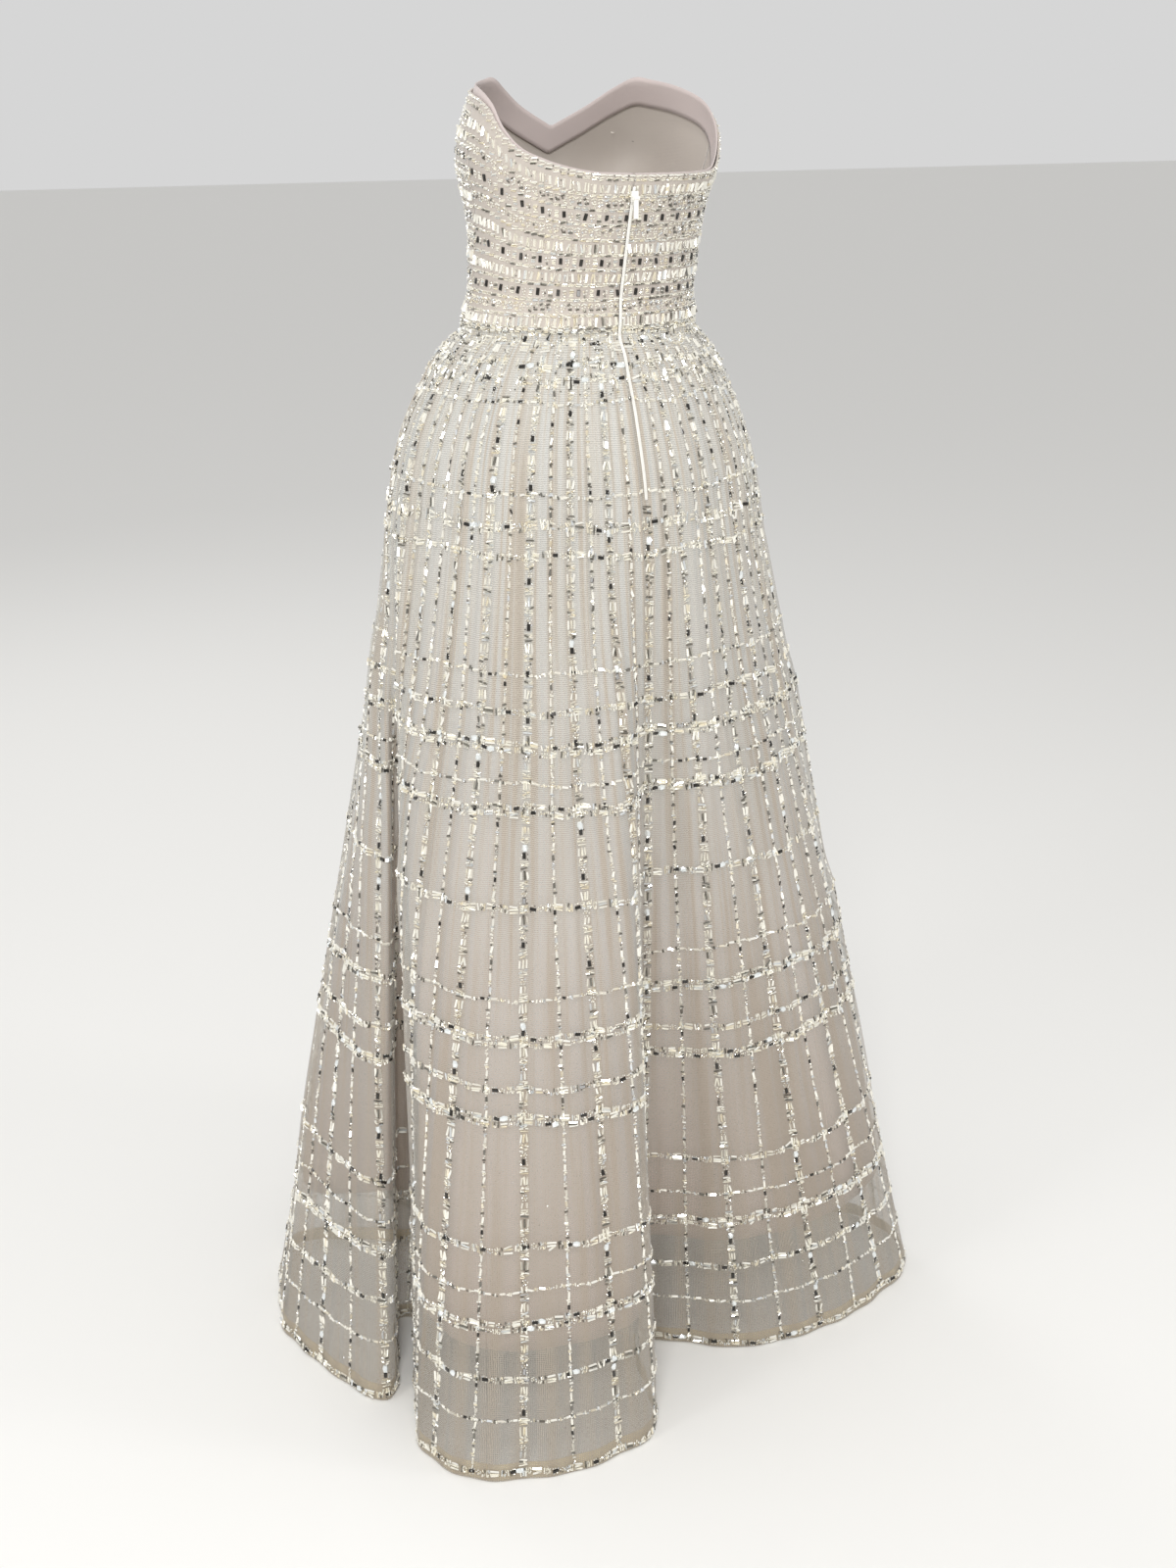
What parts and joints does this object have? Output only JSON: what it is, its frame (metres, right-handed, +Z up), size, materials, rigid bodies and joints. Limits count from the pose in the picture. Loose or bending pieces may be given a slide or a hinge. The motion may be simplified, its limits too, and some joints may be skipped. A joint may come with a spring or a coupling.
{
  "type": "tulle maxi dress",
  "caption": "Strapless full-length dress of beaded tulle over a lining, filled out as worn, with two cups, a zip at the back and a long skirt in deep folds.",
  "frame": {"origin": "centre of the waist seam, where the wearer holds the dress up", "axes": "+Z up along the wearer, -Y to the wearer's front, +X to the wearer's left, the zip towards +Y"},
  "size_m": [0.7122, 0.6612, 1.2999],
  "materials": {
    "tulle": "sheer champagne net with silver beading",
    "lining": "matt beige-pink satin",
    "facing": "plain pale greyish-pink cloth",
    "zip_tape": "woven cream tape",
    "zip_metal": "white enamel"
  },
  "bodies": {
    "dress": {"bodice_front": "tulle", "bodice_back_left": "tulle", "bodice_back_right": "tulle", "neck_facing": "facing", "skirt_front": "tulle", "skirt_side_left": "tulle", "skirt_back_left": "tulle", "skirt_back_right": "tulle", "skirt_side_right": "tulle", "lining_front": "lining", "lining_back_left": "lining", "lining_back_right": "lining", "zip_strip": "zip_tape", "zip_slider": "zip_metal"},
    "pull": {"zip_pull": "zip_metal"}
  },
  "joints": [
    {"name": "pull_swing", "type": "hinge", "parent": "dress", "child": "pull", "pos_m": [-0.00984, 0.10667, 0.1185], "axis": [1, 0, 0], "range_deg": [0, 160]}
  ]
}
